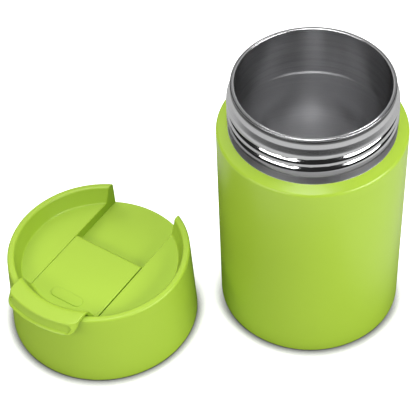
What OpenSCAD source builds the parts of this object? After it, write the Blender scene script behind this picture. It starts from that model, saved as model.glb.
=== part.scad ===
// Insulated flask with a bare steel screw neck, standing open beside its screw lid.
// The lid has a flip flap that covers the drink hole and folds back into a channel.
// Origin: centre of the flask's foot, on the floor. The lid stands on the same floor.

/* [Flask body] */
// Outside diameter over the coat
flask_d = 73; // [66:0.5:90]
// Height of the shoulder's outer edge above the floor
shoulder_h = 91.5; // [80:0.5:160]
// Width of the shoulder, from the flask's side to the crests on the neck
shoulder_w = 4.3; // [4:0.1:6]
// Rise of the shoulder from its edge to the foot of the neck
shoulder_rise = 1; // [0.6:0.1:2]
// Radius of the rounded shoulder edge
shoulder_round = 1.2; // [0.8:0.1:1.8]
// Thickness of the outer steel wall
shell_t = 0.7; // [0.5:0.05:0.8]
// Thickness of the powder coat
coat_t = 0.25; // [0.1:0.05:0.4]
// Radius of the foot's outer edge
foot_round = 0.5; // [0.3:0.1:0.6]

/* [Neck] */
// Height of the bare neck above the shoulder
neck_h = 21.3; // [19:0.1:30]
// Width of the vacuum gap at the root of the thread
neck_gap = 0.85; // [0.5:0.05:1.2]
// Depth of the rolled thread
thread_depth = 0.9; // [0.6:0.1:1]
// Height of the smooth bead between the shoulder and the thread
lower_bead_h = 8; // [6:0.1:9]
// Height of the plain collar under the lip
collar_h = 4; // [3:0.1:5]
// Thickness of the shell where it is welded to the liner at the lip
lip_t = 0.95; // [0.8:0.05:1]

/* [Liner] */
// Thickness of the liner
liner_t = 0.6; // [0.4:0.05:0.7]
// Width of the vacuum gap beside the body
vacuum_gap = 2.5; // [2:0.1:3.5]
// Depth below the lip where the liner begins to widen
liner_neck_depth = 20.8; // [17:0.1:30]
// Height over which the liner widens
liner_flare_h = 5.5; // [4:0.1:8]
// Height of the liner's inside floor above the ground
liner_floor_h = 8; // [7.5:0.1:12]
// Inside corner radius at the liner's floor
liner_corner = 6; // [4:0.5:10]

/* [Foot] */
// Thickness of the pressed base plate
base_t = 0.7; // [0.5:0.05:0.9]
// Height of the plate's upstanding flange
base_flange_h = 4; // [3:0.1:5]
// Diameter of the cover disc under the plate
cover_d = 59; // [40:0.5:62]
// Thickness of the cover disc
cover_t = 1; // [0.6:0.1:1.5]
// Diameter of the dimple around the pump-out hole
dimple_d = 12; // [11:0.5:16]
// Diameter of the pump-out hole
port_d = 3; // [2:0.1:4]
// Diameter of the getter pill
getter_d = 10; // [8:0.5:14]
// Thickness of the getter pill
getter_t = 1.8; // [1:0.1:2]

/* [Lid] */
// How far the lid's lower edge stands out past the flask's side
lid_overhang = 1.7; // [1:0.1:4]
// How far the lid's side leans in from its lower edge to its rim
lid_draft = 1.6; // [0.8:0.1:2]
// Clearance between the closed lid's edge and the foot of the neck
closed_gap = 1.2; // [0.6:0.1:2]
// Thickness of the rim at its top
rim_t = 3; // [2.5:0.1:4]
// Height of the rim above the deck
rim_h = 7; // [6:0.1:9]
// How far the rim's inside leans in from its top to the deck
rim_lean = 2; // [1:0.1:2.4]
// Thickness of the deck
deck_t = 2; // [1.5:0.1:2.4]
// Thickness of the skirt
skirt_t = 2.2; // [1.8:0.1:2.4]
// Thickness of the floor of the flap's channel
channel_floor_t = 1.5; // [1.2:0.1:1.8]
// Thickness of the cheeks that hold the hinge pins
cheek_t = 2.2; // [1.8:0.1:3]
// Clearance around the threaded insert
insert_gap = 0.15; // [0.1:0.05:0.3]
// Thickness of the insert's ceiling
ceiling_t = 1.4; // [1.2:0.1:1.6]
// Clearance between the neck's crests and the insert's bore
bore_gap = 0.5; // [0.4:0.05:0.6]
// Height of the insert's lower edge above the lid's edge
insert_lift = 1; // [0.6:0.1:2]
// Thickness of the sealing ring
gasket_t = 1.4; // [1:0.1:1.8]
// How far the sealing ring reaches in past the flask's lip
gasket_reach = 0.6; // [0.2:0.1:1]
// Clearance around the sealing ring
gasket_gap = 0.2; // [0.1:0.05:0.4]

/* [Flap] */
// Width of the flap
flap_w = 32; // [28:0.5:34]
// Thickness of the flap
flap_t = 4; // [3.6:0.1:4.4]
// Clearance at the flap's sides and front
flap_gap = 0.4; // [0.3:0.05:0.6]
// Clearance between the flap and the channel's floor
floor_gap = 0.6; // [0.6:0.05:1]
// Distance of the hinge behind the lid's axis
hinge_back = 5.2; // [5:0.1:7]
// Diameter of the hinge pins
pin_d = 2; // [1.6:0.1:2.2]
// Length of each hinge pin
pin_len = 10; // [8:0.1:12]
// Radial running clearance of the pins in the flap
pin_gap = 0.05; // [0.02:0.01:0.08]
// Clearance beyond the inner end of each pin
pin_end_gap = 0.3; // [0.2:0.05:0.6]
// How far inside the deck's edge the flap starts to rise to the rim
rise_back = 3.6; // [3:0.1:4]
// Width of the deck's ledge in front of the channel
ledge_w = 1.2; // [1:0.1:2]
// Clearance between the tab and the rim's top
tab_gap = 0.4; // [0.3:0.05:0.5]
// Thickness of the tab above the rim
tab_t = 1.8; // [1.5:0.1:2.4]
// How far the tab reaches out past the rim
tab_reach = 6.2; // [5.5:0.1:8]
// Thickness of the tab's hanging lip
lip_wall = 1.6; // [1.4:0.1:2]
// How far the lip hangs below the tab's top
tab_drop = 6.4; // [5:0.1:8]
// Depth of the recess in the front of the lip
recess_depth = 0.7; // [0.3:0.1:0.9]
// Width of the border round the recess
recess_border = 1.5; // [1:0.1:2]
// Radius of the lip's lower corners seen from the front
lip_corner = 3; // [2:0.5:4]
// Radius of the tab's corners seen from above
tab_corner = 4; // [3:0.5:5]

/* [Drink hole] */
// Distance of the drink hole from the side of the flask's mouth
drink_inset = 3.55; // [1.5:0.05:6]
// Length of the drink hole across the lid
drink_len = 15.2; // [12:0.1:18]
// Width of the drink hole
drink_w = 7.2; // [6:0.1:8]
// Distance of the vent hole in front of the lid's axis
vent_forward = 6; // [2:0.1:10]
// Diameter of the vent hole
vent_d = 3; // [2.6:0.1:4]
// Clearance around the soft plugs
plug_gap = 0.6; // [0.5:0.05:0.8]
// How deep the plugs reach below the flap
plug_depth = 1.6; // [1.2:0.1:1.8]
// Depth to which the plugs are let into the flap
plug_seat = 1.2; // [0.8:0.1:1.6]
// Width of the plugs' seated edge
plug_edge = 0.8; // [0.5:0.1:1]
// Height of the raised oval above the drink plug
oval_h = 0.3; // [0.2:0.05:0.3]
// Length of the raised oval
oval_len = 14.5; // [10:0.1:16]
// Width of the raised oval
oval_w = 4.8; // [3:0.1:6]

/* [Placing] */
// Clear distance between the flask's side and the lid's
lid_apart = 10.9; // [8:0.1:60]
// Direction of the lid from the flask, turned from the right-hand side
lid_bearing = 191.1; // [150:0.1:360]
// Turn of the lid about its own axis
lid_turn = -30; // [-180:1:180]

/* [Hidden] */
$fn = 128;

eps = 0.01;
curve_steps = 5;

coat_color = "#A8CE46";
steel_color = "#B9BABD";
steel_dark = "#8F9196";
seal_color = "#C9CCCF";
soft_color = "#86A636";
insert_color = "#55585B";
getter_color = "#4B4C50";

// Flask, from the outside in
shell_r = flask_d / 2 - coat_t;
neck_z = shoulder_h + shoulder_rise;
lip_z = neck_z + neck_h;
thread_r = flask_d / 2 - shoulder_w;
root_r = thread_r - thread_depth;
neck_foot_r = root_r + thread_depth / 2;
liner_neck_r = root_r - shell_t - neck_gap;
mouth_r = liner_neck_r - liner_t;
lip_r = liner_neck_r + lip_t;
lip_round = lip_t / 2;
weld_h = 2;
shoulder_sweep = 75;

// Shape of the beads on the neck
flank_h = 1.2;
upper_bead_h = 0.8;
collar_flank_h = 2;
collar_taper = 0.15;

liner_r = shell_r - shell_t - vacuum_gap - liner_t;
liner_flare_z = lip_z - liner_neck_depth;
liner_weld_z = liner_floor_h + liner_corner + 2;
liner_under = liner_floor_h - liner_t;

dimple_lift = 1;
seal_edge = 3;
getter_cup_t = 0.4;
getter_gap = 0.1;
getter_flange = 3;

// Lid, from the flask's lip upward: ring, ceiling, channel, flap, rim
ceiling_z = neck_h - closed_gap + gasket_t;
block_z = ceiling_z + ceiling_t;
channel_z = block_z + channel_floor_t;
flap_z = channel_z + floor_gap;
deck_z = flap_z + flap_t;
lid_h = deck_z + rim_h;
drink_forward = mouth_r - drink_inset - drink_w / 2;

lid_base_r = flask_d / 2 + lid_overhang;
lid_top_r = lid_base_r - lid_draft;
rim_r = lid_top_r - rim_t;
deck_r = rim_r - rim_lean;
bore_r = thread_r + bore_gap;
rim_round = 1;
skirt_round = 0.8;
channel_w = flap_w + 2 * flap_gap;
channel_r = deck_r - ledge_w;

// Flap: its hinge and the section of its tab
barrel_r = flap_t / 2;
hinge_z = deck_z - barrel_r;
rise_r = deck_r - rise_back;
hook_lap = 2;
hook_front = 5;
tab_under = lid_h + tab_gap;
tab_z = tab_under + tab_t;
tab_r = lid_top_r + tab_reach;
tab_crown = 0.3;
tab_nose = 1.6;
tab_fillet = 1;
lip_z0 = tab_z - tab_drop;
corner_ease = 0.1;

lid_distance = flask_d / 2 + lid_apart + lid_base_r;

// Points on an arc about centre c, from angle a0 to angle a1
function arc(c, r, a0, a1) =
  [for (i = [0:curve_steps]) c + r * [cos(a0 + (a1 - a0) * i / curve_steps), sin(a0 + (a1 - a0) * i / curve_steps)]];

// Points on a smooth S between p and q, level with the axis at both ends
function ease(p, q) =
  [for (i = [0:curve_steps]) let (t = i / curve_steps)
    [p[0] + (q[0] - p[0]) * (1 - cos(180 * t)) / 2, p[1] + (q[1] - p[1]) * t]];

function flipped(points) = [for (i = [len(points) - 1:-1:0]) points[i]];

function moved(points, by) = [for (p = points) p + by];

// Radius of the lid's outside and of the skirt's inside at height z
function lid_r(z) = lid_base_r - lid_draft * z / lid_h;
function skirt_r(z) = lid_r(z) - skirt_t;

// Outline of the neck from its foot up to the collar: bead, thread root, upper bead, collar
function neck_line() =
  let (bead_z = neck_z + lower_bead_h, collar_z = lip_z - collar_h, upper_z = collar_z - collar_flank_h)
  concat(
    ease([neck_foot_r, neck_z], [thread_r, neck_z + lower_bead_h / 2]),
    ease([thread_r, bead_z], [root_r, bead_z + flank_h]),
    ease([root_r, upper_z - 2 * upper_bead_h], [thread_r, upper_z - upper_bead_h]),
    ease([thread_r, upper_z], [lip_r + collar_taper, collar_z])
  );

// Outline of the wall and shoulder, grown outward by g, from the foot up to the neck
function body_line(g) = concat(
  [[shell_r + g, foot_round]],
  arc([shell_r - shoulder_round, shoulder_h - shoulder_round], shoulder_round + g, 0, shoulder_sweep),
  [[neck_foot_r, neck_z] + [coat_t, g]]
);

module revolve(points) {
  rotate_extrude() polygon(points);
}

module in_lid_place() {
  translate(lid_distance * [cos(lid_bearing), sin(lid_bearing), 0]) rotate([0, 0, lid_turn]) children();
}

// Flat outline with half-round ends, len long across the lid
module oval(len, w) {
  square([len - w, w], center = true);
  for (side = [-1, 1]) translate([side * (len - w) / 2, 0]) circle(d = w);
}

// Plan of the flap's channel, grown by g: round at the front, open at the back
module channel_plan(g) {
  half = channel_w / 2 + g;
  intersection() {
    circle(r = channel_r + g);
    translate([-half, -lid_base_r]) square([2 * half, lid_base_r]);
  }
  translate([-half, -eps]) square([2 * half, lid_base_r + eps]);
}

// Outer steel wall with its shoulder and its rolled neck, one sheet from foot to lip
module outer_shell() {
  outside = concat(
    arc([shell_r - foot_round, foot_round], foot_round, -90, -10),
    body_line(0),
    neck_line(),
    arc([lip_r - lip_round, lip_z - lip_round], lip_round, 0, 90),
    [[liner_neck_r, lip_z]]
  );
  inside = concat(
    [[liner_neck_r, lip_z - weld_h], [lip_r + collar_taper - shell_t, lip_z - weld_h - shell_t]],
    flipped(moved(neck_line(), [-shell_t, 0])),
    [[neck_foot_r - shell_t, neck_z - shell_t]],
    flipped(arc([shell_r - shoulder_round, shoulder_h - shoulder_round], shoulder_round - shell_t, 0, shoulder_sweep)),
    [[shell_r - shell_t, 0]]
  );
  color(steel_color) revolve(concat(outside, inside));
}

// Coat on the wall and shoulder, ending at the neck
module powder_coat() {
  color(coat_color) revolve(concat(body_line(coat_t), flipped(body_line(0))));
}

// Pressed plate that closes the foot, with a dimple around the pump-out hole
module base_plate() {
  r = shell_r - shell_t;
  dimple_r = dimple_d / 2;
  bend = 1;
  mitre = base_t * tan(22.5);
  underside = [
    [port_d / 2, dimple_lift], [dimple_r, dimple_lift], [dimple_r + bend, 0],
    [r - bend, 0], [r, bend], [r, base_flange_h]
  ];
  top = [
    [r - base_t, base_flange_h], [r - base_t, bend + mitre], [r - bend - mitre, base_t],
    [dimple_r + bend - mitre, base_t], [dimple_r - mitre, dimple_lift + base_t],
    [port_d / 2, dimple_lift + base_t]
  ];
  color(steel_dark) translate([0, 0, cover_t]) revolve(concat(underside, top));
}

// Flat disc glued under the plate, level with the foot
module cover_disc() {
  color(steel_color) cylinder(d = cover_d, h = cover_t);
}

// Bead of solder that closes the pump-out hole inside the dimple
module vacuum_seal() {
  color(seal_color) translate([0, 0, cover_t]) cylinder(d = port_d + 2 * seal_edge, h = dimple_lift);
}

// Liner from the lip down through its neck, widening to the body
module liner_wall() {
  bend = ease([mouth_r, liner_flare_z], [liner_r, liner_flare_z - liner_flare_h]);
  edge = liner_t / 2;
  color(steel_dark) revolve(concat(
    [[mouth_r + edge, lip_z], [mouth_r, lip_z - edge]],
    bend,
    [[liner_r, liner_weld_z], [liner_r + liner_t, liner_weld_z]],
    flipped(moved(bend, [liner_t, 0])),
    [[liner_neck_r, lip_z]]
  ));
}

// Dished floor welded to the liner's wall
module liner_bottom() {
  corner = [liner_r - liner_corner, liner_floor_h + liner_corner];
  color(steel_dark) revolve(concat(
    [[0, liner_under]],
    arc(corner, liner_corner + liner_t, -90, 0),
    [[liner_r + liner_t, liner_weld_z], [liner_r, liner_weld_z]],
    flipped(arc(corner, liner_corner, -90, 0)),
    [[0, liner_floor_h]]
  ));
}

// Thin cup that holds the getter under the liner
module getter_cup() {
  inner_r = getter_d / 2 + getter_gap;
  outer_r = inner_r + getter_cup_t;
  floor_z = liner_under - getter_t - getter_cup_t;
  flange_z = liner_under - getter_cup_t;
  color(steel_color) revolve([
    [0, floor_z], [outer_r, floor_z], [outer_r, flange_z], [inner_r + getter_flange, flange_z],
    [inner_r + getter_flange, liner_under], [inner_r, liner_under],
    [inner_r, floor_z + getter_cup_t], [0, floor_z + getter_cup_t]
  ]);
}

// Getter pill in its cup
module getter() {
  color(getter_color) translate([0, 0, liner_under - getter_t]) cylinder(d = getter_d, h = getter_t);
}

// Moulded lid: skirt, raised rim, recessed deck and the flap's channel
module lid_shell() {
  under = deck_z - deck_t;
  body = concat(
    arc([lid_r(0) - skirt_round, skirt_round], skirt_round, -90, 0),
    arc([lid_r(lid_h) - rim_round, lid_h - rim_round], rim_round, 0, 90),
    arc([rim_r + rim_round, lid_h - rim_round], rim_round, 90, 165),
    [[deck_r, deck_z], [0, deck_z], [0, under], [skirt_r(under), under], [skirt_r(0), 0]]
  );
  color(coat_color) in_lid_place() difference() {
    union() {
      revolve(body);
      intersection() {
        translate([0, 0, block_z]) linear_extrude(deck_z - deck_t / 2 - block_z) channel_plan(cheek_t);
        cylinder(r1 = skirt_r(0) + skirt_t / 2, r2 = skirt_r(lid_h) + skirt_t / 2, h = lid_h);
      }
    }
    translate([0, 0, channel_z]) linear_extrude(lid_h) channel_plan(0);
    drink_passage();
    for (side = [-1, 1]) hinge_pin(side);
  }
}

// Drink hole and vent hole through everything below the flap
module drink_passage() {
  translate([0, -drink_forward, ceiling_z - eps]) linear_extrude(lid_h) oval(drink_len, drink_w);
  translate([0, -vent_forward, ceiling_z - eps]) cylinder(d = vent_d, h = lid_h);
}

// Threaded insert inside the skirt, with the ceiling that the sealing ring sits under
module lid_insert() {
  color(insert_color) in_lid_place() difference() {
    revolve([
      [0, ceiling_z], [bore_r, ceiling_z], [bore_r, insert_lift],
      [skirt_r(insert_lift) - insert_gap, insert_lift],
      [skirt_r(block_z) - insert_gap, block_z], [0, block_z]
    ]);
    drink_passage();
  }
}

// Soft ring that the flask's lip presses against
module lid_gasket() {
  color(seal_color) in_lid_place() translate([0, 0, ceiling_z - gasket_t])
    difference() {
      cylinder(r = bore_r - gasket_gap, h = gasket_t);
      translate([0, 0, -eps]) cylinder(r = mouth_r - gasket_reach, h = gasket_t + 2 * eps);
    }
}

// One hinge pin through its cheek and into the flap, or its hole with clearances round and beyond it
module hinge_pin(side, round_gap = 0, end_gap = 0) {
  outer_x = channel_w / 2 + cheek_t;
  translate([side * (outer_x - pin_len - end_gap), hinge_back, hinge_z])
    rotate([0, side * 90, 0]) cylinder(r = pin_d / 2 + round_gap, h = pin_len + end_gap);
}

// Two steel pins pressed into the cheeks of the channel
module hinge_pins() {
  color(steel_color) in_lid_place() for (side = [-1, 1]) hinge_pin(side);
}

// Section of the flap's front, from the deck up over the rim to the hanging lip
function hook_line() =
  let (
    lean = rim_lean / rim_h,
    inner_r = rise_r - hook_lap,
    front_r = channel_r - flap_gap,
    lip_end = lip_wall / 2,
    rise = ease([0, rise_r], [1, rim_r])
  )
  concat(
    [[inner_r, flap_z], [inner_r, deck_z]],
    [for (p = rise) [p[1], deck_z + (tab_z - tab_crown - deck_z) * p[0]]],
    [[rim_r + rim_round, tab_z]],
    arc([tab_r - tab_nose, tab_z - tab_crown - tab_nose], tab_nose, 90, 0),
    arc([tab_r - lip_end, lip_z0 + lip_end], lip_end, 0, -180),
    arc([tab_r - lip_wall - tab_fillet, tab_under - tab_fillet], tab_fillet, 0, 90),
    [
      [rim_r - flap_gap, tab_under], [rim_r - flap_gap - lean, lid_h - rim_round],
      [deck_r - flap_gap, deck_z + flap_gap], [front_r, deck_z + flap_gap], [front_r, flap_z]
    ]
  );

// Plan of the flap: straight sides, rounded front corners
module flap_plan() {
  front = tab_r + 1;
  half = flap_w / 2;
  corner_y = -sqrt(pow(tab_r - tab_corner, 2) - pow(half - tab_corner, 2));
  translate([-half, corner_y]) square([flap_w, hinge_back - corner_y]);
  translate([-half + tab_corner, -front]) square([flap_w - 2 * tab_corner, front + hinge_back]);
  for (side = [-1, 1]) translate([side * (half - tab_corner), corner_y]) circle(r = tab_corner);
}

// An outline seen from the front, carried forward from the lid's side past the tab
module carried_forward() {
  translate([0, -lid_top_r, 0]) rotate([90, 0, 0]) linear_extrude(2 * tab_reach) children();
}

// What is cut from the hanging lip: its square lower corners and the recess in its front
module lip_cuts() {
  recess_w = flap_w - 2 * recess_border;
  recess_h = tab_drop - tab_nose - recess_border;
  for (side = [-1, 1]) carried_forward() difference() {
    translate([side * flap_w / 2, lip_z0]) square(2 * lip_corner, center = true);
    translate([side * (flap_w / 2 - lip_corner), lip_z0 + lip_corner]) circle(r = lip_corner + corner_ease);
  }
  difference() {
    carried_forward() translate([0, lip_z0 + recess_border + recess_h / 2]) oval(recess_w, recess_h);
    cylinder(r = tab_r - recess_depth, h = 2 * lid_h);
  }
}

// Flap with its barrel, the rising front and the tab over the rim
module flap() {
  plug_len = drink_len - 2 * plug_gap + 2 * plug_edge;
  plug_w = drink_w - 2 * plug_gap + 2 * plug_edge;
  nub_d = vent_d - 2 * plug_gap + 2 * plug_edge;
  color(coat_color) in_lid_place() difference() {
    union() {
      translate([0, 0, flap_z]) linear_extrude(flap_t) intersection() {
        circle(r = channel_r - flap_gap);
        flap_plan();
      }
      intersection() {
        revolve(hook_line());
        linear_extrude(2 * lid_h) intersection() {
          flap_plan();
          translate([-flap_w, -2 * tab_r]) square([2 * flap_w, 2 * tab_r - hook_front]);
        }
      }
      translate([0, hinge_back, hinge_z]) rotate([0, 90, 0]) cylinder(r = barrel_r, h = flap_w, center = true);
      translate([0, -drink_forward, deck_z - eps]) linear_extrude(oval_h + eps) oval(oval_len, oval_w);
    }
    lip_cuts();
    for (side = [-1, 1]) hinge_pin(side, pin_gap, pin_end_gap);
    translate([0, -drink_forward, flap_z - eps]) linear_extrude(plug_seat + eps) oval(plug_len, plug_w);
    translate([0, -vent_forward, flap_z - eps]) cylinder(d = nub_d, h = plug_seat + eps);
  }
}

// Soft plug under the flap that closes the drink hole
module drink_plug() {
  len = drink_len - 2 * plug_gap;
  w = drink_w - 2 * plug_gap;
  color(soft_color) in_lid_place() translate([0, -drink_forward, flap_z]) {
    linear_extrude(plug_seat) oval(len + 2 * plug_edge, w + 2 * plug_edge);
    translate([0, 0, -plug_depth]) linear_extrude(plug_depth + eps) oval(len, w);
  }
}

// Soft nub under the flap that closes the vent hole
module vent_plug() {
  d = vent_d - 2 * plug_gap;
  color(soft_color) in_lid_place() translate([0, -vent_forward, flap_z]) {
    cylinder(d = d + 2 * plug_edge, h = plug_seat);
    translate([0, 0, -plug_depth]) cylinder(d = d, h = plug_depth + eps);
  }
}

outer_shell();
powder_coat();
base_plate();
cover_disc();
vacuum_seal();
liner_wall();
liner_bottom();
getter_cup();
getter();
lid_shell();
lid_insert();
lid_gasket();
hinge_pins();
flap();
drink_plug();
vent_plug();
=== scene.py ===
import math

import bpy
from mathutils import Matrix, Vector


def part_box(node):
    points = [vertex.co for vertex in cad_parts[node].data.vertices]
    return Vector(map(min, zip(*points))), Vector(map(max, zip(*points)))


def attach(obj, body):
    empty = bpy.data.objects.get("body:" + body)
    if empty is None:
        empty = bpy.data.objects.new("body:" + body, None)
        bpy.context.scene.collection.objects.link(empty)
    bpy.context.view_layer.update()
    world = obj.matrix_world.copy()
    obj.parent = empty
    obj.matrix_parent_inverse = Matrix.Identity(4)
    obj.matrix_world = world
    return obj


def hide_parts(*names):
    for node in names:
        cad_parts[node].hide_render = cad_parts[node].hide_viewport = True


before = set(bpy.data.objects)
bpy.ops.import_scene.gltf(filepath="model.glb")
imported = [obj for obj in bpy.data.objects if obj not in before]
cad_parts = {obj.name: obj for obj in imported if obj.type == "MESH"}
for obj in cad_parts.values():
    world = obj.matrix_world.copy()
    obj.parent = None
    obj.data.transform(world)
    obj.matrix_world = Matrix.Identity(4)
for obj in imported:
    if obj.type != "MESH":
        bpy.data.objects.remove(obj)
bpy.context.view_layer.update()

MM = 0.001
camera_place = Vector((0, -422.62, 505.17)) * MM
camera_pitch = 0.8267
camera_yaw = -0.0966
camera_roll = -0.0481

bpy.ops.object.select_all(action="DESELECT")
bpy.ops.object.camera_add()
camera = bpy.context.object
camera.matrix_world = (
    Matrix.Translation(camera_place)
    @ Matrix.Rotation(-camera_yaw, 4, "Z")
    @ Matrix.Rotation(math.pi / 2 - camera_pitch, 4, "X")
    @ Matrix.Rotation(camera_roll, 4, "Z")
)
camera.data.sensor_width = 36
camera.data.lens = 135.44
bpy.context.scene.camera = camera
bpy.context.scene.view_settings.view_transform = "Standard"


# Studio: a white table with soft boxes right, left, overhead, behind and at the back left.
# The table is lifted to white for the camera alone, and a contact shadow is painted into its colour
# and its lift at each piece's foot. Mirror rays see it grey and dark far away, with painted shade
# near the pieces on the lid's side.
class Level:
    """A number that varies over a surface: the output of a node, with the usual operators."""

    def __init__(self, finish, socket):
        self.finish = finish
        self.socket = socket

    def math(self, operation, first, second):
        return self.finish.node("ShaderNodeMath", {"operation": operation}, {0: first, 1: second})

    def __add__(self, other):
        return self.math("ADD", self, other)

    def __sub__(self, other):
        return self.math("SUBTRACT", self, other)

    def __rsub__(self, other):
        return self.math("SUBTRACT", other, self)

    def __mul__(self, other):
        return self.math("MULTIPLY", self, other)

    __radd__ = __add__
    __rmul__ = __mul__


class Finish:
    """One material: its shader, and the nodes that vary it."""

    def __init__(self, name, shader="ShaderNodeBsdfPrincipled", **constants):
        self.material = bpy.data.materials.new(name)
        self.material.use_nodes = True
        self.tree = self.material.node_tree
        self.tree.nodes.clear()
        self.shader = self.node(shader, {}, constants).socket.node
        self.end = self.tree.nodes.new("ShaderNodeOutputMaterial")
        self.tree.links.new(self.shader.outputs[0], self.end.inputs["Surface"])

    def feed(self, slot, value):
        for old in list(slot.links):
            self.tree.links.remove(old)
        if isinstance(value, Level):
            self.tree.links.new(value.socket, slot)
        else:
            slot.default_value = value

    def node(self, kind, settings, inputs, output=0):
        made = self.tree.nodes.new(kind)
        for key, value in settings.items():
            setattr(made, key, value)
        for key, value in inputs.items():
            self.feed(made.inputs[key], value)
        return Level(self, made.outputs[output])

    def vary(self, name, value):
        self.feed(self.shader.inputs[name], value)

    def place(self):
        """Object coordinates, counted from the foot of the flask's axis."""
        return self.node("ShaderNodeTexCoord", {}, {}, "Object")

    def grain(self, place, sizes, detail=2, roughness=0.5):
        """Noise whose grains have these sizes in mm, from 0 to 1."""
        factors = tuple(1 / (size * MM) for size in sizes)
        scaled = self.node("ShaderNodeMapping", {}, {"Vector": place, "Scale": factors})
        inputs = {"Vector": scaled, "Scale": 1, "Detail": detail, "Roughness": roughness}
        return self.node("ShaderNodeTexNoise", {}, inputs)

    def between(self, value, low, high):
        """Rises smoothly from 0 at low to 1 at high."""
        inputs = {"Value": value, "From Min": low, "From Max": high}
        return self.node("ShaderNodeMapRange", {"interpolation_type": "SMOOTHSTEP"}, inputs)

    def blend(self, share, first, second):
        """The first colour where the share is 0, and the second where it is 1."""
        mixed = self.node("ShaderNodeMix", {"data_type": "RGBA"}, {0: share}, 2)
        for slot, colour in ((6, first), (7, second)):
            shown = colour if isinstance(colour, Level) else (*colour, 1)
            self.feed(mixed.socket.node.inputs[slot], shown)
        return mixed

    def relief(self, height, depth):
        """Bumps of this depth in mm where the height goes from 0 to 1."""
        bumps = self.node("ShaderNodeBump", {}, {"Height": height, "Distance": depth * MM})
        self.vary("Normal", bumps)


table_size = 8
table_colour = (0.86, 0.86, 0.86)
painted_shadow_colour = (0.12, 0.12, 0.12)
contact_size = 8 * MM
contact_start, contact_full = 0.97, 0.45
contact_behind = 0.3
behind_y, front_y = 0.01, -0.02
table_lift = 0.82
covered_size = 45 * MM
covered_full, covered_end = 0.1, 0.25
far_lift = 1
far_start, far_full = 0.2, 1.2
table_in_metal = (0.46, 0.46, 0.46)
dark_air_and_shade = (0.02, 0.02, 0.02)
dark_start, dark_full = 0.35, 0.8
short_ray, long_ray = 0.09, 0.125
shaded_x, open_x = 0.03, 0.07

bpy.ops.mesh.primitive_plane_add(size=table_size)
table = bpy.context.object
table.name = "table"
paint = Finish("table_white", "ShaderNodeBsdfDiffuse")
spot = paint.place()
across, along = (paint.node("ShaderNodeSeparateXYZ", {}, {0: spot}, axis) for axis in (0, 1))
away = paint.node("ShaderNodeVectorMath", {"operation": "LENGTH"}, {0: spot}, 1)


def open_air(reach, samples):
    """How open the air is above each place on the table, from 0 to 1, within this reach."""
    return paint.node("ShaderNodeAmbientOcclusion", {"samples": samples}, {"Distance": reach}, 1)


def ray(kind):
    return paint.node("ShaderNodeLightPath", {}, {}, kind)


# Painted contact shadow: the table's colour and lift darken where the air above is closed in, more
# in front.
contact = paint.between(open_air(contact_size, 8), contact_start, contact_full)
front = paint.between(along, behind_y, front_y)
clear = 1 - contact * (front * (1 - contact_behind) + contact_behind)
paint.vary("Color", paint.blend(clear, painted_shadow_colour, table_colour))
lit = Level(paint, paint.shader.outputs[0])

uncovered = paint.between(open_air(covered_size, 16), covered_full, covered_end)
far = paint.between(away, far_start, far_full)
lift = clear * table_lift * uncovered + far * far_lift
glow = paint.node("ShaderNodeEmission", {}, {"Color": (1, 1, 1, 1), "Strength": lift})
lifted = paint.node("ShaderNodeAddShader", {}, {0: lit, 1: glow})

# Painted shade in mirror rays: close to the pieces, on the lid's side, the table shows dark.
near = paint.between(ray("Ray Length"), long_ray, short_ray)
shade = near * paint.between(across, open_x, shaded_x)
dark = paint.between(away, dark_start, dark_full) + shade
mirrored = paint.blend(dark, table_in_metal, dark_air_and_shade)
dim = paint.node("ShaderNodeBsdfDiffuse", {}, {"Color": mirrored})
unseen = paint.node("ShaderNodeMixShader", {}, {0: ray("Is Glossy Ray"), 1: lit, 2: dim})
shown = paint.node("ShaderNodeMixShader", {}, {0: ray("Is Camera Ray"), 1: unseen, 2: lifted})
paint.feed(paint.end.inputs["Surface"], shown)
table.data.materials.append(paint.material)

air_for_light = 0.02
air_in_metal = 0.02
air_in_camera = 1

world = bpy.data.worlds.new("studio_air")
world.use_nodes = True
bpy.context.scene.world = world
air = world.node_tree
background = air.nodes["Background"]
air_ray = air.nodes.new("ShaderNodeLightPath")
for name, source in (("in_metal", "Is Glossy Ray"), ("in_camera", "Is Camera Ray")):
    step = air.nodes.new("ShaderNodeMapRange")
    step.name = name
    air.links.new(air_ray.outputs[source], step.inputs["Value"])
in_metal, in_camera = air.nodes["in_metal"], air.nodes["in_camera"]
in_metal.inputs["To Min"].default_value = air_for_light
in_metal.inputs["To Max"].default_value = air_in_metal
air.links.new(in_metal.outputs[0], in_camera.inputs["To Min"])
in_camera.inputs["To Max"].default_value = air_in_camera
air.links.new(in_camera.outputs[0], background.inputs["Strength"])
background.inputs["Color"].default_value = (1, 1, 1, 1)

stage_middle = Vector((-25, 0, 50)) * MM


def soft_box(name, azimuth, elevation, distance, width, height, power):
    """A lamp that looks at the middle of the stage; azimuth 0 is the camera's side."""
    turn = math.radians(azimuth)
    rise = math.radians(elevation)
    level = math.cos(rise)
    away = Vector((math.sin(turn) * level, -math.cos(turn) * level, math.sin(rise)))
    bpy.ops.object.light_add(type="AREA", location=stage_middle + distance * away)
    lamp = bpy.context.object
    lamp.name = name
    lamp.rotation_euler = away.to_track_quat("Z", "Y").to_euler()
    lamp.data.shape = "RECTANGLE"
    lamp.data.size = width
    lamp.data.size_y = height
    lamp.data.energy = power
    return lamp


soft_box("right_box", azimuth=66, elevation=31, distance=1.1, width=0.85, height=0.32, power=9.2)
soft_box("left_box", azimuth=-42, elevation=32, distance=1.1, width=0.85, height=0.32, power=4.6)
soft_box("top_box", azimuth=0, elevation=88, distance=1.2, width=0.36, height=1.3, power=7.3)
soft_box("back_box", azimuth=180, elevation=50, distance=1.2, width=1.6, height=1.2, power=2.6)
fill = soft_box(
    "fill_box", azimuth=-130, elevation=40, distance=1.1, width=0.6, height=0.5, power=3.3
)
fill.visible_glossy = False


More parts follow.
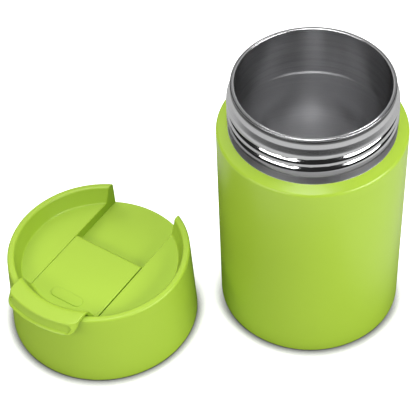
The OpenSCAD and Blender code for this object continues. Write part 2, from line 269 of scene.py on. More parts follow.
# Flask coat: green powder coat, baked on to the wall and the shoulder, 0.25 mm thick.
# It ends in a clean edge at the foot of the bare neck.
shell_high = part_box("outer_shell")[1] / MM
flask_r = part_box("powder_coat")[1].x / MM
coat_t = flask_r - shell_high.x
coat_low = 0.5
lip_z = shell_high.z
neck_h = 21.3
neck_z = lip_z - neck_h
neck_foot_r = 31.75
shoulder_round = 1.2
shoulder_drop = 1.2
shoulder_turn = 78
shoulder_z = neck_z - shoulder_drop
merged_within = 0.001


def arc(centre, radius, start, stop, steps):
    """Points on an arc in the plane of radius and height, in degrees."""
    turns = [math.radians(start + (stop - start) * i / steps) for i in range(steps + 1)]
    return [(centre[0] + radius * math.cos(a), centre[1] + radius * math.sin(a)) for a in turns]


def straight(start, stop, steps):
    """Points on a straight line from start to stop."""
    shares = [i / steps for i in range(steps + 1)]
    return [tuple(a + (b - a) * t for a, b in zip(start, stop)) for t in shares]


def turned(name, outline, segments=192, closed=True):
    """A piece turned about the upright axis: a ring, extruded from point to point of a line."""
    bpy.ops.object.select_all(action="DESELECT")
    radius, height = outline[0]
    place = (0, 0, height * MM)
    bpy.ops.mesh.primitive_circle_add(vertices=segments, radius=radius * MM, location=place)
    piece = bpy.context.object
    piece.name = name
    bpy.ops.object.transform_apply()
    bpy.ops.object.mode_set(mode="EDIT")
    bpy.ops.mesh.select_all(action="SELECT")
    for wider, higher in outline[1:]:
        rise = Vector((0, 0, higher - height)) * MM
        bpy.ops.mesh.extrude_region_move(TRANSFORM_OT_translate={"value": rise})
        grow = wider / radius
        bpy.ops.transform.resize(value=(grow, grow, 1), center_override=(0, 0, 0))
        radius, height = wider, higher
    bpy.ops.object.mode_set(mode="OBJECT")
    if closed:
        tidied(piece)
    return piece


def picked(piece, wanted):
    """Selects the vertices whose place in mm is wanted, and with them their edges and faces."""
    bpy.ops.object.select_all(action="DESELECT")
    bpy.context.view_layer.objects.active = piece
    piece.select_set(True)
    bpy.ops.object.mode_set(mode="EDIT")
    bpy.ops.mesh.select_mode(type="VERT")
    bpy.ops.mesh.select_all(action="DESELECT")
    bpy.ops.object.mode_set(mode="OBJECT")
    for corner in piece.data.vertices:
        corner.select = bool(wanted(*(corner.co / MM)))
    bpy.ops.object.mode_set(mode="EDIT")
    bpy.ops.mesh.select_mode(type="VERT")


def filled(piece, wanted):
    """Closes the open ring whose vertices are wanted with one face."""
    picked(piece, wanted)
    bpy.ops.mesh.edge_face_add()
    bpy.ops.object.mode_set(mode="OBJECT")


def tidied(piece):
    """Merges what meets and points the faces outwards."""
    picked(piece, lambda x, y, z: True)
    bpy.ops.mesh.remove_doubles(threshold=merged_within * MM)
    bpy.ops.mesh.normals_make_consistent(inside=False)
    bpy.ops.object.mode_set(mode="OBJECT")


def shaped(piece, rule):
    """Moves each vertex of a piece by a rule on its place, in mm."""
    for corner in piece.data.vertices:
        corner.co = Vector(rule(*(corner.co / MM))) * MM


def smoothed(piece, degrees=35):
    """Smooth shading across every edge flatter than this, led by the larger faces."""
    bpy.ops.object.select_all(action="DESELECT")
    bpy.context.view_layer.objects.active = piece
    piece.select_set(True)
    bpy.ops.object.shade_smooth_by_angle(angle=math.radians(degrees))
    lead = piece.modifiers.new("lead", "WEIGHTED_NORMAL")
    lead.keep_sharp = True
    bpy.ops.object.modifier_apply(modifier=lead.name)


def finished(piece, finish, node, slot, body):
    """Gives a piece its finish and its body, and hides the CAD node that it stands for.

    Mirror rays meet the steel alone: in the photograph the neck shows nothing of the green.
    """
    piece.visible_glossy = slot in ("bare_steel", "liner_steel")
    piece.data.materials.clear()
    piece.data.materials.append(finish.material)
    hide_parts(node)
    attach(piece, body)


def coat_line(grow):
    """The coat's outer face, or its inner face, from the foot up to the neck."""
    side = flask_r - coat_t + grow
    corner = (flask_r - coat_t - shoulder_round, shoulder_z - shoulder_round)
    line = straight((side, coat_low), (side, corner[1]), 8)
    line += arc(corner, shoulder_round + grow, 0, shoulder_turn, 10)[1:]
    return line + [(neck_foot_r + coat_t, neck_z + grow)]


lime = (0.425, 0.622, 0.053)
lime_deep = (0.405, 0.598, 0.047)
cloud_size = (26, 26, 26)
grain_dulls = 0.1


def green(name, grain_size, depth, roughness, ior):
    """Lime green with a faint cloud of tone and a fine grain, for the coat and the mouldings."""
    finish = Finish(name, IOR=ior)
    place = finish.place()
    cloud = finish.grain(place, cloud_size, detail=3)
    fine = finish.grain(place, (grain_size,) * 3, detail=3, roughness=0.6)
    finish.vary("Base Color", finish.blend(cloud, lime, lime_deep))
    finish.vary("Roughness", fine * grain_dulls + roughness)
    finish.relief(fine, depth)
    return finish


powder = green("powder_green", grain_size=0.45, depth=0.012, roughness=0.2, ior=1.57)

coat = turned("flask_coat", coat_line(coat_t) + coat_line(0)[::-1] + coat_line(coat_t)[:1])
smoothed(coat)
finished(coat, powder, "powder_coat", "coat", "flask")


# Outer wall: one sheet of stainless steel from the foot to the lip, with the neck left bare.
# Under its rounded lip the neck has a satin collar, a flare, a rolled screw thread and a foot.
# Painted shade darkens the lip, the crease under it and a band at the thread's foot.
wall_t = 0.7
foot_round = 0.5
mouth_r = 29.15
liner_t = 0.6
lip_r = 30.7
lip_bead = 0.45
seam = 0.06
crest_r = 32.2
collar_r = lip_r + 0.3
collar_z = lip_z - 3.9
flare_foot_z = lip_z - 8
flare_begins = (-0.05, 0.15)
flare_ends = (0.45, 1.05)
flare_steps = 16
thread_above, thread_below = 6, 16
thread_foot_z = lip_z - 15.8
thread_depth = 1.14
thread_pitch = 3.8
thread_fade, thread_gone = 115, 160
groove_above = 1.3
groove_below_lip = 9.35
ridge_r = 3.2
ridge_h = 2.45
slope_softness = 0.07
neck_colour = (0.92, 0.92, 0.93)
foot_shade_colour = (0.46, 0.46, 0.47)
lip_shade_colour = (0.45, 0.45, 0.46)
crease_shade_colour = (0.2, 0.2, 0.2)
blasted_colour = (0.9, 0.9, 0.9)
neck_polish = 0.03
satin_dulls = 0.15
blasting_dulls = 0.6
worn_size = (7, 7, 5)
dull_share = 0.78
line_range = (0.3, 0.7)
worn_tone, line_tone = 0.4, 0.6
worn_dulls, line_dulls = 0.06, 0.08


class Steel(Finish):
    """Stainless steel with fine lines round it from rolling and polishing."""

    def __init__(self, name):
        super().__init__(name, Metallic=1)
        spot = self.place()
        flat = self.node("ShaderNodeVectorMath", {"operation": "MULTIPLY"}, {0: spot, 1: (1, 1, 0)})
        radius = self.node("ShaderNodeVectorMath", {"operation": "LENGTH"}, {0: flat}, 1)
        self.height = self.node("ShaderNodeSeparateXYZ", {}, {0: spot}, 2)
        self.track = self.node("ShaderNodeCombineXYZ", {}, {0: radius, 1: self.height})
        self.worn = self.grain(spot, worn_size, detail=3)

    def polished(self, colour, roughness, line_size, line_depth):
        """The tone, the gloss and the lines; the roughness may vary over the surface."""
        lines = self.grain(self.track, (line_size, line_size, 1), detail=3, roughness=0.7)
        dull = tuple(dull_share * part for part in colour)
        dulled = self.worn * worn_tone + self.between(lines, *line_range) * line_tone
        self.tone = self.blend(dulled, colour, dull)
        self.vary("Base Color", self.tone)
        self.vary("Roughness", lines * line_dulls + self.worn * worn_dulls + roughness)
        self.relief(lines, line_depth)


def slope_share(share):
    """From 0 to 1 on a straight slope with softened ends."""
    share = min(max(share, 0), 1)
    return share - slope_softness * math.sin(2 * math.pi * share)


def smooth_step(value, low, high):
    """From 0 at low to 1 at high, level at both ends."""
    share = min(max((value - low) / (high - low), 0), 1)
    return share * share * (3 - 2 * share)


def groove_height(across):
    """How deep the groove is, from 0 to 1, this far below its deepest line.

    It is steep above that line, and below it the sheet swells to a round ridge.
    """
    if across < 0:
        return slope_share(1 + across / groove_above)
    left = max(ridge_h - across, 0)
    deep = ridge_r - math.sqrt(ridge_r**2 - left**2)
    return deep / (ridge_r - math.sqrt(ridge_r**2 - ridge_h**2))


def thread_height(turn, below_lip):
    """How deep the neck is pressed in, from 0 to 1, at a turn in degrees from the front."""
    first = groove_below_lip - thread_pitch * turn / 360
    upper = groove_height(below_lip - first)
    upper *= 1 - smooth_step(turn, thread_fade, thread_gone)
    lower = groove_height(below_lip - first - thread_pitch)
    lower *= smooth_step(turn, -thread_gone, -thread_fade)
    return max(upper, lower)


def flare_slope(share):
    """How steeply the neck widens under its collar: quickly at first, then less and less."""
    return smooth_step(share, *flare_begins) * (1 - smooth_step(share, *flare_ends))


def rolled_thread(x, y, z):
    """Presses the screw groove into the neck."""
    below_lip = lip_z - z
    radius = math.hypot(x, y)
    if not thread_above < below_lip < thread_below or radius < lip_r:
        return x, y, z
    turn = math.degrees(math.atan2(x, -y))
    deep = thread_depth * thread_height(turn, below_lip)
    shrink = min(radius, max(radius - deep, crest_r - thread_depth)) / radius
    return x * shrink, y * shrink, z


bright_steel = Steel("neck_steel")
under_lip = lip_z * MM - bright_steel.height


def below(start, full):
    """Rises from 0 to 1 between these depths below the lip, in mm."""
    return bright_steel.between(under_lip, start * MM, full * MM)


satin = below(7.8, 6)
# Painted shade: a band of the neck at the thread's foot is given a darker tone.
foot_shade = below(14.3, 15) * below(17.6, 16.6)
blasted = below(neck_h - 0.1, neck_h + 0.1)
# Painted shade: a dark band in the crease under the rolled lip.
painted_crease_shade = below(1.2, 1.5) * below(2.4, 2)
neck_roughness = satin * satin_dulls + blasted * blasting_dulls + neck_polish
bright_steel.polished(neck_colour, neck_roughness, line_size=0.45, line_depth=0.003)
neck_tone = bright_steel.blend(foot_shade, bright_steel.tone, foot_shade_colour)
# Painted shade: the rolled lip is given a darker tone, which dims its highlight.
neck_tone = bright_steel.blend(below(1.3, 1), neck_tone, lip_shade_colour)
neck_tone = bright_steel.blend(painted_crease_shade, neck_tone, crease_shade_colour)
bright_steel.vary("Base Color", bright_steel.blend(blasted, neck_tone, blasted_colour))

flare_slopes = [flare_slope((i + 0.5) / flare_steps) for i in range(flare_steps)]
flare_rise = (crest_r - collar_r) / sum(flare_slopes)
flare_line = [(collar_r, collar_z)]
for i, slope in enumerate(flare_slopes, 1):
    height = collar_z + (flare_foot_z - collar_z) * i / flare_steps
    flare_line.append((flare_line[-1][0] + flare_rise * slope, height))

wall_line = arc((shell_high.x - foot_round, foot_round), foot_round, -90, 0, 4)
wall_line += coat_line(0)[1:-1]
wall_line += [(neck_foot_r, neck_z), (neck_foot_r + 0.02, neck_z + 0.6)]
wall_line += [(crest_r - 0.22, neck_z + 3), (crest_r - 0.05, neck_z + 5)]
wall_line += straight((crest_r, thread_foot_z), (crest_r, flare_foot_z), 60)
wall_line += flare_line[::-1]
wall_line += [(lip_r - 0.08, lip_z - 1.6), (lip_r - 0.12, lip_z - 1.5)]
wall_line += [(lip_r - 0.34, lip_z - 1.08)]
wall_line += arc((lip_r - lip_bead, lip_z - 0.5), lip_bead, -60, 60, 10)
wall_line += arc((lip_r - 0.6, lip_z - 0.5), 0.5, 62, 90, 3)
wall_line += [(mouth_r + liner_t + seam, lip_z), (mouth_r + liner_t, lip_z - seam)]
wall_line += [(mouth_r + liner_t, neck_z - 1), (shell_high.x - wall_t, neck_z - 2)]
wall_line += [(shell_high.x - wall_t, 0), wall_line[0]]
wall = turned("steel_wall", wall_line, segments=256)
shaped(wall, rolled_thread)
smoothed(wall)
finished(wall, bright_steel, "outer_shell", "bare_steel", "flask")


# Liner: a second stainless wall, narrow in the neck and wider below, with a dished floor welded in.
# It meets the outer wall at the lip, where the two sheets are welded and ground smooth.
slack = 0.01
liner_steel = Steel("liner_stainless")
liner_steel.polished((0.95, 0.95, 0.96), roughness=0.13, line_size=0.6, line_depth=0.0002)
liner_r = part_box("liner_wall")[1].x / MM - liner_t
weld_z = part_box("liner_wall")[0].z / MM
floor_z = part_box("liner_bottom")[0].z / MM + liner_t
corner_r = 6
hub_r = 1
edge_r = 0.3
flare_z = lip_z - 20.8
flare_h = 5.5
flare_bend = 1.6
flare_turn = 46

flare = arc((mouth_r + flare_bend, flare_z - 0.5), flare_bend, 180, 180 + flare_turn, 8)
flare += arc((liner_r - flare_bend, flare_z - flare_h + 0.46), flare_bend, flare_turn, 0, 8)
lip_edge = arc((mouth_r + edge_r, lip_z - edge_r), edge_r, 90, 180, 6)
neck_inside = straight((mouth_r, lip_z - 1), (mouth_r, flare_z + 1), 6)
wall_inside = straight((liner_r, flare_z - flare_h - 1), (liner_r, weld_z), 10)
liner_line = lip_edge + neck_inside + flare + wall_inside
liner_line += [(r + liner_t, z) for r, z in [(liner_r, weld_z)] + flare[::-1]]
liner_line += [(mouth_r + liner_t, lip_z - seam), (mouth_r + liner_t - seam, lip_z), lip_edge[0]]
liner = turned("liner", liner_line)
smoothed(liner)
finished(liner, liner_steel, "liner_wall", "liner_steel", "flask")

corner = (liner_r - corner_r, floor_z + corner_r)
dish_line = [(liner_r, weld_z)] + arc(corner, corner_r, 0, -90, 14)
dish_line += [(20, floor_z), (10, floor_z), (hub_r, floor_z), (hub_r, floor_z - liner_t)]
dish_line += arc(corner, corner_r + liner_t, -90, 0, 14)
dish_line += [(liner_r + liner_t, weld_z), (liner_r, weld_z)]
liner_floor = turned("liner_floor", dish_line, closed=False)
tidied(liner_floor)
for height in (floor_z, floor_z - liner_t):
    filled(liner_floor, lambda x, y, z: math.dist((x, y, z), (0, 0, height)) < hub_r + slack)
tidied(liner_floor)
smoothed(liner_floor)
floor_steel = Steel("floor_stainless")
floor_steel.polished((0.6, 0.6, 0.61), roughness=0.35, line_size=0.6, line_depth=0.0003)
finished(liner_floor, floor_steel, "liner_bottom", "liner_steel", "flask")


# Foot and inner pieces: a pressed steel plate, its pump-out hole sealed with solder, a glued cover
# disc, and the getter pill in its cup under the liner. Only the disc and the plate's edge show.
def dressed(node, finish):
    """Gives a CAD node that keeps its shape its finish."""
    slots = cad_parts[node].data.materials
    slots.clear()
    slots.append(finish.material)


plate_steel = Steel("foot_steel")
plate_steel.polished((0.6, 0.6, 0.61), roughness=0.3, line_size=0.5, line_depth=0.002)
for node in ("base_plate", "cover_disc", "getter_cup"):
    dressed(node, plate_steel)

solder = Finish("solder", Metallic=1)
ripple = solder.grain(solder.place(), (1.6, 1.6, 1.6), detail=3)
solder.vary("Base Color", solder.blend(ripple, (0.62, 0.62, 0.6), (0.5, 0.5, 0.49)))
solder.vary("Roughness", ripple * 0.2 + 0.3)
solder.relief(ripple, depth=0.05)
dressed("vacuum_seal", solder)

pill = Finish("getter_pill", Metallic=0.6)
sinter = pill.grain(pill.place(), (0.3, 0.3, 0.3), detail=4, roughness=0.7)
pill.vary("Base Color", pill.blend(sinter, (0.1, 0.1, 0.11), (0.05, 0.05, 0.055)))
pill.vary("Roughness", sinter * 0.2 + 0.65)
pill.relief(sinter, depth=0.03)
dressed("getter", pill)


# Lid body: one moulding of green plastic, with a skirt, a raised rim and a deck sunk below it.
# A straight channel runs back through the rim, so that the flap can lie open in it.
lid_low, lid_high = (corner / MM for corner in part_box("lid_shell"))
lid_centre = (lid_low + lid_high) / 2
lid_turn = math.radians(-30)
lid_h = lid_high.z
lid_base_r = (lid_high.x - lid_low.x) / 2
skirt_lean = 1.6
skirt_t = 2.2
lid_top_r = lid_base_r - skirt_lean
rim_r = 33.6
deck_r = 31.6
deck_z = 29
deck_edge_r = deck_r - 0.4
channel_half = 16.4
channel_r = 30.4
channel_z = 24.4
block_z = 22.9
block_rim_z = block_z + 0.05
drink_forward = 22
drink_len = 15.2
drink_w = 7.2
vent_forward = 6
vent_d = 3
cut_low, cut_high = 15, 28
edge_round = 0.45
edge_span = 5


def lid_r(z):
    """The skirt's radius at a height: it leans in towards the rim."""
    return lid_base_r - skirt_lean * z / lid_h


def beside_channel(x, y, z):
    """Moves the upright rows of vertices so that one row stands at each side of the channel."""
    radius = math.hypot(x, y)
    turn = math.degrees(math.atan2(x, y))
    row = 22.5
    side = math.degrees(math.asin(channel_half / radius))
    if abs(turn) <= row + slack:
        new = turn * side / row
    else:
        new = math.copysign(side + (abs(turn) - row) * (180 - side) / (180 - row), turn)
    return radius * math.sin(math.radians(new)), radius * math.cos(math.radians(new)), z


def drawn(piece, places):
    """Draws edges from the vertex at the first of these places through the others, in mm."""
    start = places[0]
    picked(piece, lambda x, y, z: math.dist((x, y, z), start) < 2 * slack)
    for place in places[1:]:
        step = Vector(place) - Vector(start)
        bpy.ops.mesh.extrude_region_move(TRANSFORM_OT_translate={"value": step * MM})
        start = place
    bpy.ops.object.mode_set(mode="OBJECT")
    tidied(piece)


def rounded(piece, wanted, width, segments=3):
    """Rounds the edges both of whose ends are wanted."""
    picked(piece, lambda x, y, z: False)
    bpy.ops.mesh.select_mode(type="EDGE")
    bpy.ops.object.mode_set(mode="OBJECT")
    corners = piece.data.vertices
    for edge in piece.data.edges:
        ends = [corners[i].co / MM for i in edge.vertices]
        edge.select = bool(wanted(*ends))
    bpy.ops.object.mode_set(mode="EDIT")
    bpy.ops.mesh.bevel(offset=width * MM, segments=segments, affect="EDGES", clamp_overlap=True)
    bpy.ops.object.mode_set(mode="OBJECT")


def plug_form(name, length, width, low, high, forward, count=48):
    """An upright form with half-round ends, long across the lid."""
    bpy.ops.object.select_all(action="DESELECT")
    place = (0, -forward * MM, (low + high) / 2 * MM)
    size = {"radius": width / 2 * MM, "depth": (high - low) * MM}
    bpy.ops.mesh.primitive_cylinder_add(vertices=count, location=place, **size)
    form = bpy.context.object
    form.name = name
    bpy.ops.object.transform_apply()
    stretch = (length - width) / 2
    shaped(form, lambda x, y, z: (x + math.copysign(stretch, x) * (abs(x) > merged_within), y, z))
    return form


def pierced(piece):
    """Cuts the drink hole and the vent hole through a piece of the lid."""
    holes = ((drink_len, drink_w, drink_forward), (vent_d, vent_d, vent_forward))
    for length, width, forward in holes:
        cutter = plug_form("cutter", length, width, cut_low, cut_high, forward)
        bpy.ops.object.select_all(action="DESELECT")
        bpy.context.view_layer.objects.active = piece
        piece.select_set(True)
        hole = piece.modifiers.new("hole", "BOOLEAN")
        hole.object = cutter
        hole.solver = "EXACT"
        bpy.ops.object.modifier_apply(modifier=hole.name)
        bpy.data.objects.remove(cutter)


def set_in_lid(piece):
    """Takes a piece made about the origin to the lid's place and turn."""
    bpy.ops.object.select_all(action="DESELECT")
    bpy.context.view_layer.objects.active = piece
    piece.select_set(True)
    place = Vector((lid_centre.x, lid_centre.y, 0)) * MM
    piece.matrix_world = Matrix.Translation(place) @ Matrix.Rotation(lid_turn, 4, "Z")
    bpy.ops.object.transform_apply()


skirt_line = [(lid_r(block_z) - skirt_t, block_rim_z), (lid_r(12) - skirt_t, 12)]
skirt_line += [(lid_r(0) - skirt_t, 0.4), (lid_r(0) - 1.8, 0)]
skirt_line += arc((lid_r(0) - 0.8, 0.8), 0.8, -90, 0, 6)
skirt_line += [(lid_r(z), z) for z in (6, 12, 18, channel_z, 30)]
skirt_line += arc((lid_top_r - 1, lid_h - 1), 1, 0, 90, 6)
skirt_line += arc((rim_r + 1, lid_h - 1), 1, 90, 163, 6)
skirt_line += straight((rim_r - 0.2, lid_h - 1.7), (deck_r + 0.3, deck_z + 0.9), 3)
skirt_line += [(deck_r + 0.12, deck_z + 0.45), (deck_r - 0.1, deck_z + 0.15)]
skirt_line += [(deck_edge_r, deck_z)]
lid_body = turned("lid_body", skirt_line, closed=False)
shaped(lid_body, beside_channel)
filled(lid_body, lambda x, y, z: abs(z - block_rim_z) < slack)


def over_channel(x, y, z):
    return z > channel_z - slack and abs(x) < channel_half + slack and y > 0


picked(lid_body, over_channel)
bpy.ops.mesh.select_mode(type="FACE")
bpy.ops.mesh.delete(type="FACE")
bpy.ops.object.mode_set(mode="OBJECT")

deck_end = math.sqrt(deck_edge_r**2 - channel_half**2)
back_end = math.sqrt(lid_r(channel_z) ** 2 - channel_half**2)
front_end = math.sqrt(channel_r**2 - channel_half**2)
front_turn = math.asin(channel_half / channel_r)
front_steps = 32
turns = [front_turn * (1 - 2 * i / front_steps) for i in range(front_steps + 1)]
channel_front = [(channel_r * math.sin(turn), -channel_r * math.cos(turn)) for turn in turns]
channel_line = [(channel_half, deck_end)] + channel_front + [(-channel_half, deck_end)]
drawn(lid_body, [(x, y, deck_z) for x, y in channel_line])
filled(lid_body, lambda x, y, z: abs(z - deck_z) < slack)


def on_front(x, y):
    return y < slack - front_end and abs(math.hypot(x, y) - channel_r) < slack


picked(lid_body, lambda x, y, z: on_front(x, y) and abs(z - deck_z) < slack)
drop = Vector((0, 0, channel_z - deck_z)) * MM
bpy.ops.mesh.extrude_region_move(TRANSFORM_OT_translate={"value": drop})
bpy.ops.object.mode_set(mode="OBJECT")
cheek_foot, cheek_end = channel_z - slack, -front_end - slack
for side in (1, -1):
    cheek_x = side * channel_half
    drawn(lid_body, [(cheek_x, -front_end, channel_z), (cheek_x, back_end, channel_z)])
    filled(lid_body, lambda x, y, z: abs(x - cheek_x) < slack and z > cheek_foot and y > cheek_end)


def on_channel(x, y):
    return abs(x) < channel_half + slack and (y > 0 or math.hypot(x, y) < channel_r + slack)


filled(lid_body, lambda x, y, z: abs(z - channel_z) < slack and on_channel(x, y))
tidied(lid_body)


def at_channel_edge(start, end):
    """True for edges of the cut rim, of the deck by the channel and of the floor's open end."""
    ends = (start, end)
    beside = all(abs(abs(v.x) - channel_half) < slack and v.z > channel_z - slack for v in ends)
    low = all(abs(v.z - channel_z) < slack for v in ends)
    upright = abs(start.y - end.y) < slack and start.y < 0
    arc_top = all(on_front(v.x, v.y) and abs(v.z - deck_z) < slack for v in ends)
    behind = low and all(v.y > 0 and on_channel(v.x, v.y) for v in ends)
    open_end = behind and abs(start.y - end.y) < edge_span
    return (beside and not low and not upright) or arc_top or open_end


rounded(lid_body, at_channel_edge, edge_round)
pierced(lid_body)
set_in_lid(lid_body)
smoothed(lid_body)
lid_green = green("lid_green", grain_size=0.5, depth=0.008, roughness=0.28, ior=1.5)
finished(lid_body, lid_green, "lid_shell", "lid_plastic", "lid")


# Threaded insert: a darker moulding pressed into the skirt, whose screw thread takes the neck.
# Its ceiling lies under the deck and holds the sealing ring; the drink hole passes through it.
bore_r = 32.7
ceiling_z = 21.5
insert_low = 1
insert_gap = 0.15
rib_low, rib_high = 2.5, 17.5
rib_starts = (6.2, 10, 13.8)
rib_begins = (4.6, 5.6)
rib_ends = (13.6, 14.6)
rib_half = 1.1
rib_slope = 0.8
rib_rise = 0.9


def insert_r(z):
    """The insert's radius at a height, just inside the skirt."""
    return lid_r(z) - skirt_t - insert_gap


def screw_rib(x, y, z):
    """Raises the rib of the thread inside the insert's bore."""
    radius = math.hypot(x, y)
    if radius > bore_r + 0.05 or not rib_low < z < rib_high:
        return x, y, z
    turn = math.degrees(math.atan2(x, -y))
    tall = 0
    for start in rib_starts:
        centre = start + thread_pitch * turn / 360
        fade = smooth_step(centre, *rib_begins) * (1 - smooth_step(centre, *rib_ends))
        tall = max(tall, fade * slope_share((1 - abs(z - centre) / rib_half) / rib_slope))
    shrink = (radius - rib_rise * tall) / radius
    return x * shrink, y * shrink, z


insert_line = [(bore_r - 0.5, ceiling_z), (bore_r - 0.15, ceiling_z - 0.15)]
insert_line += [(bore_r, ceiling_z - 0.5)] + straight((bore_r, 18), (bore_r, 2.2), 64)
insert_line += [(bore_r, 1.5), (bore_r + 0.15, 1.15), (bore_r + 0.5, insert_low)]
insert_line += [(insert_r(insert_low) - 0.4, insert_low), (insert_r(insert_low), insert_low + 0.4)]
insert_line += [(insert_r(12), 12), (insert_r(block_z), block_z - 0.3)]
insert_line += [(insert_r(block_z) - 0.3, block_z)]
insert = turned("lid_insert_moulding", insert_line, closed=False)
shaped(insert, screw_rib)
filled(insert, lambda x, y, z: abs(z - ceiling_z) < slack)
filled(insert, lambda x, y, z: abs(z - block_z) < slack)
tidied(insert)
pierced(insert)
set_in_lid(insert)
smoothed(insert)

insert_plastic = Finish("insert_plastic", IOR=1.49)
insert_place = insert_plastic.place()
moulding = insert_plastic.grain(insert_place, (0.7, 0.7, 0.7), detail=3, roughness=0.6)
flow = insert_plastic.grain(insert_place, (18, 18, 18), detail=2)
insert_tone = insert_plastic.blend(flow, (0.115, 0.12, 0.125), (0.095, 0.1, 0.105))
insert_plastic.vary("Base Color", insert_tone)
insert_plastic.vary("Roughness", moulding * 0.12 + 0.36)
insert_plastic.relief(moulding, depth=0.01)
finished(insert, insert_plastic, "lid_insert", "insert_plastic", "lid")


# Sealing ring: a ring of soft silicone, held under the insert's ceiling.
# The flask's lip presses into the shallow groove in its underside.
gasket_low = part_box("lid_gasket")[0].z / MM
gasket_in = mouth_r - 0.6
gasket_out = bore_r - 0.2
gasket_round = 0.4
gasket_bend = gasket_low + gasket_round
lip_seat_z = gasket_low + 0.25
gasket_line = arc((gasket_out - gasket_round, gasket_bend), gasket_round, -90, 0, 4)
gasket_line += [(gasket_out, ceiling_z), (gasket_in, ceiling_z)]
gasket_line += arc((gasket_in + gasket_round, gasket_bend), gasket_round, 180, 270, 4)
gasket_line += [(lip_r - 1.9, gasket_low), (lip_r - 1.6, lip_seat_z)]
gasket_line += [(lip_r + 0.3, lip_seat_z), (lip_r + 0.6, gasket_low), gasket_line[0]]
gasket = turned("sealing_ring", gasket_line)
set_in_lid(gasket)
smoothed(gasket)

silicone = Finish("silicone", **{"IOR": 1.41, "Subsurface Weight": 0.25, "Subsurface Scale": 0.002})
bloom = silicone.grain(silicone.place(), (2.5, 2.5, 2.5), detail=3)
silicone.vary("Base Color", silicone.blend(bloom, (0.66, 0.68, 0.67), (0.6, 0.62, 0.61)))
silicone.vary("Roughness", bloom * 0.15 + 0.42)
silicone.relief(bloom, depth=0.01)
finished(gasket, silicone, "lid_gasket", "seal", "lid")


# Hinge pins: two ground steel pins, pressed through the channel's cheeks into the flap's barrel.
# The barrel and the cheeks hide them, so they keep the solids' own shape.
pin_steel = Finish("pin_steel", Metallic=1)
ground = pin_steel.grain(pin_steel.place(), (0.15, 0.15, 0.15), detail=3, roughness=0.6)
pin_steel.vary("Base Color", pin_steel.blend(ground, (0.62, 0.62, 0.63), (0.52, 0.52, 0.53)))
pin_steel.vary("Roughness", ground * 0.12 + 0.24)
dressed("hinge_pins", pin_steel)


# Flap: a flat plastic lever in the channel, that rises over the rim and ends in a hooked thumb tab.
# It turns on the pins at its back end, and a low oval on its top marks the drink plug. The tab's
# face leans back, with a shallow recess for the thumb, and the left side almost fills the channel.
flap_half = 16
flap_z = 25
hinge_back = 5.2
hinge_z = 27
barrel_r = 2
rise_r = 28
rise_steps = 14
tab_under = 36.4
tab_z = 38.2
tab_r = 42.2
tab_root_r = 34
tab_lean = 1.7
tab_crown = 0.3
tab_nose = 0.8
tab_low = 32.2
lip_wall = 1.6
tab_corner = 4
lip_corner = 3
hook_back = 2
recess_depth = 0.8
recess_soft = 0.5
recess_half = 12.85
recess_r = 1.95
recess_z = tab_low + 0.95 + recess_r
face_slack = 0.15
bend_start, bend_full = 17, 26
left_grow = 1.0215
front_gap = 0.4
flap_round = 0.4
oval_len = 14.5
oval_w = 4.8
oval_root = 0.4
oval_rise = 0.3
oval_round = 0.2

crown_z = tab_z - tab_crown
nose_z = crown_z - tab_nose
face_tilt = math.degrees(math.atan2(tab_lean, nose_z - tab_low - lip_wall / 2))
flap_line = [(x, deck_z) for x in (-hinge_back, -2, 2, 6, 10, 14, 17, 19, 21, 23, 25, 26.5)]
for i in range(rise_steps + 1):
    swing = 1 - math.cos(math.pi * i / rise_steps)
    forward = rise_r + (rim_r - rise_r) * i / rise_steps
    flap_line.append((forward, deck_z + (crown_z - deck_z) * swing / 2))
flap_line += [(rim_r + 0.5, tab_z - 0.1), (rim_r + 1.2, tab_z)]
flap_line += [(36.5, tab_z - 0.05), (37.8, tab_z - 0.12)]
nose = arc((tab_r - tab_lean - tab_nose, nose_z), tab_nose, 90, face_tilt, 9)
hook = arc((tab_r - lip_wall / 2, tab_low + lip_wall / 2), lip_wall / 2, face_tilt, -180, 8)
flap_line += [(38.9, tab_z - 0.2)] + nose + straight(nose[-1], hook[0], 24)[1:-1] + hook
flap_line += [(tab_r - lip_wall - 0.25, 33.7), (tab_r - lip_wall - 0.6, 34.6)]
flap_line += arc((tab_r - lip_wall - 1.8, tab_under - 1), 1, 0, 90, 5)
flap_line += [(37, tab_under), (35.5, tab_under)]
flap_line += [(rim_r - front_gap, tab_under), (rim_r - 0.69, lid_h - 1)]
flap_line += [(deck_r - front_gap, deck_z + front_gap), (channel_r - front_gap, deck_z + front_gap)]
flap_line += [(x, flap_z) for x in (channel_r - front_gap, 27, 24, 21, 18, 14, 10, 6, 2, -2)]
flap_line += arc((-hinge_back, hinge_z), barrel_r, -90, -270, 12)[:-1]

bpy.ops.object.select_all(action="DESELECT")
bpy.ops.mesh.primitive_circle_add(vertices=len(flap_line), radius=10 * MM, fill_type="NGON")
flap = bpy.context.object
flap.name = "flap_body"
for corner, (forward, height) in zip(flap.data.vertices, flap_line):
    corner.co = Vector((-flap_half, -forward, height)) * MM
picked(flap, lambda x, y, z: True)
flap_across = Vector((2 * flap_half, 0, 0)) * MM
bpy.ops.mesh.extrude_region_move(TRANSFORM_OT_translate={"value": flap_across})
bpy.ops.object.mode_set(mode="OBJECT")
tidied(flap)
rounded(flap, lambda start, end: abs(start.x - end.x) < slack, flap_round)

columns = (0, 2.5, 5, 7.5, 9.5, 11, 12, 12.5, 12.8, 13.1, 13.4, 13.65, 13.9)
columns += (14.1, 14.3, 14.45, 14.6, 14.8, 15.1, 15.4)
for column in sorted({side * x for x in columns for side in (1, -1)}):
    picked(flap, lambda x, y, z: True)
    bpy.ops.mesh.bisect(plane_co=(column * MM, 0, 0), plane_no=(1, 0, 0))
    bpy.ops.object.mode_set(mode="OBJECT")


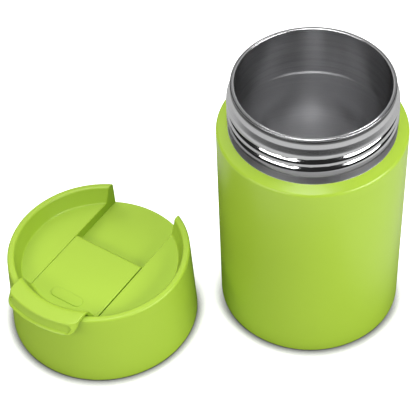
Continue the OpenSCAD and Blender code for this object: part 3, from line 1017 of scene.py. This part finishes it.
def bent(x, y, z):
    """Bends the straight lever to the lid's round rim, and gives the tab its corners and recess."""
    reach = -y
    side = abs(x)
    if reach > tab_r - tab_lean - face_slack:
        inside = recess_r - math.hypot(max(side - recess_half, 0), z - recess_z)
        reach -= recess_depth * smooth_step(inside, 0, recess_soft)
    if reach > tab_r - lip_wall - hook_back and z < tab_under and side > flap_half - lip_corner:
        over = min(side - flap_half + lip_corner, lip_corner)
        lift = lip_corner - math.sqrt(lip_corner**2 - over**2)
        z += lift * (tab_under - z) / (tab_under - tab_low)
    if reach > bend_start:
        share = smooth_step(reach, bend_start, bend_full)
        reach += share * (math.sqrt(reach**2 - x**2) - reach)
        base = math.sqrt(tab_root_r**2 - x**2)
        if side > flap_half - tab_corner and reach > base:
            full = math.sqrt(tab_r**2 - x**2)
            centre = math.sqrt((tab_r - tab_corner) ** 2 - (flap_half - tab_corner) ** 2)
            over = min(side - flap_half + tab_corner, tab_corner)
            corner = centre + math.sqrt(tab_corner**2 - over**2)
            reach = base + (reach - base) * (corner - base) / (full - base)
    return (x * left_grow if x < 0 else x), -reach, z


shaped(flap, bent)
tidied(flap)

oval_low, oval_high = deck_z - oval_root, deck_z + oval_rise
oval = plug_form("oval", oval_len, oval_w, oval_low, oval_high, drink_forward, count=64)
rounded(oval, lambda start, end: min(start.z, end.z) > oval_high - slack, oval_round)
bpy.ops.object.select_all(action="DESELECT")
oval.select_set(True)
flap.select_set(True)
bpy.context.view_layer.objects.active = flap
bpy.ops.object.join()
set_in_lid(flap)
smoothed(flap)
finished(flap, lid_green, "flap", "lid_plastic", "flap")


# Soft plugs: two nubs of soft rubber, each with a wider seat that is let into the flap.
# They close the drink hole and the vent hole.
plug_drop = 1.6
plug_root = 0.2
plug_round = 0.45
plug_gap = 0.6
seat_wider = 1.6
seat_depth = 1.2


def soft_plug(name, node, length, width, forward):
    """A nub that hangs from its seat in the flap, in a hole of this length and width."""
    length, width = length - 2 * plug_gap, width - 2 * plug_gap
    tip = flap_z - plug_drop
    plug = plug_form(name, length, width, tip, flap_z + plug_root, forward)
    rounded(plug, lambda start, end: max(start.z, end.z) < tip + slack, plug_round, segments=4)
    seat_size = (length + seat_wider, width + seat_wider)
    seat = plug_form("seat", *seat_size, flap_z - slack, flap_z + seat_depth, forward)
    bpy.ops.object.select_all(action="DESELECT")
    seat.select_set(True)
    plug.select_set(True)
    bpy.context.view_layer.objects.active = plug
    bpy.ops.object.join()
    set_in_lid(plug)
    smoothed(plug)
    finished(plug, rubber, node, "plug_rubber", "flap")


rubber = Finish("plug_rubber", IOR=1.45)
skin = rubber.grain(rubber.place(), (0.4, 0.4, 0.4), detail=3, roughness=0.6)
rubber.vary("Base Color", rubber.blend(skin, (0.24, 0.4, 0.04), (0.2, 0.35, 0.032)))
rubber.vary("Roughness", skin * 0.15 + 0.55)
rubber.relief(skin, depth=0.01)
soft_plug("soft_drink_plug", "drink_plug", drink_len, drink_w, drink_forward)
soft_plug("soft_vent_plug", "vent_plug", vent_d, vent_d, vent_forward)
